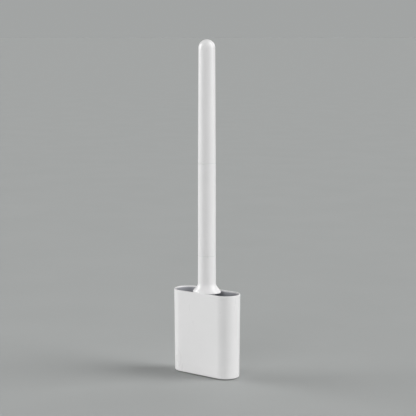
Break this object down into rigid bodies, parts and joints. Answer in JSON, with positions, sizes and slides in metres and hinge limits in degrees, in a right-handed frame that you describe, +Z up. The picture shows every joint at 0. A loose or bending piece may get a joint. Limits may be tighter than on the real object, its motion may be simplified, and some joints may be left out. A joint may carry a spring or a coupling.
{
  "type": "toilet brush holder",
  "caption": "Slim flat-oval toilet brush holder with a lift-out liner; a three-section screw-together brush with a bell-shaped splash collar hangs in it.",
  "frame": {"origin": "on the floor under the middle of the holder, at the underside of the rubber feet", "axes": "+Z up along the brush handle, +X along the holder's width, -Y out of the holder's front face"},
  "size_m": [0.09, 0.034, 0.395],
  "materials": {
    "shell_white": "satin",
    "base_white": "matte",
    "foot_rubber": "matte",
    "liner_grey": "matte",
    "handle_white": "satin",
    "thread_white": "matte",
    "seal_silicone": "matte",
    "core_plastic": "matte",
    "head_silicone": "matte",
    "screw_steel": "brushed"
  },
  "bodies": {
    "holder": {"holder_shell": "shell_white", "base_plate": "base_white", "foot_pads": "foot_rubber"},
    "liner": {"inner_liner": "liner_grey"},
    "brush": {"collar_tube": "handle_white", "lower_spigot": "thread_white", "head_core": "core_plastic", "head_screw": "screw_steel", "brush_head": "head_silicone"},
    "lower_washer": {"lower_seal": "seal_silicone"},
    "mid_handle": {"mid_insert": "thread_white", "mid_tube": "handle_white", "upper_spigot": "thread_white"},
    "upper_washer": {"upper_seal": "seal_silicone"},
    "grip": {"grip_insert": "thread_white", "grip_tube": "handle_white"}
  },
  "joints": [
    {"name": "liner_lift", "type": "slide", "parent": "holder", "child": "liner", "axis": [0, 0, 1], "range_m": [0, 0.11]},
    {"name": "brush_lift", "type": "slide", "parent": "liner", "child": "brush", "axis": [0, 0, 1], "range_m": [0, 0.12]},
    {"name": "lower_thread_turn", "type": "hinge", "parent": "brush", "child": "lower_washer", "pos_m": [0, 0, 0.1425], "axis": [0, 0, 1], "range_deg": [0, 1260]},
    {"name": "lower_thread_rise", "type": "slide", "parent": "lower_washer", "child": "mid_handle", "axis": [0, 0, 1], "range_m": [0, 0.0141]},
    {"name": "upper_thread_turn", "type": "hinge", "parent": "mid_handle", "child": "upper_washer", "pos_m": [0, 0, 0.2515], "axis": [0, 0, 1], "range_deg": [0, 1260]},
    {"name": "upper_thread_rise", "type": "slide", "parent": "upper_washer", "child": "grip", "axis": [0, 0, 1], "range_m": [0, 0.0141]}
  ],
  "couplings": [
    {"joint": "lower_thread_rise", "follows": "lower_thread_turn", "m_per_rad": 0.00063662},
    {"joint": "upper_thread_rise", "follows": "upper_thread_turn", "m_per_rad": 0.00063662}
  ]
}
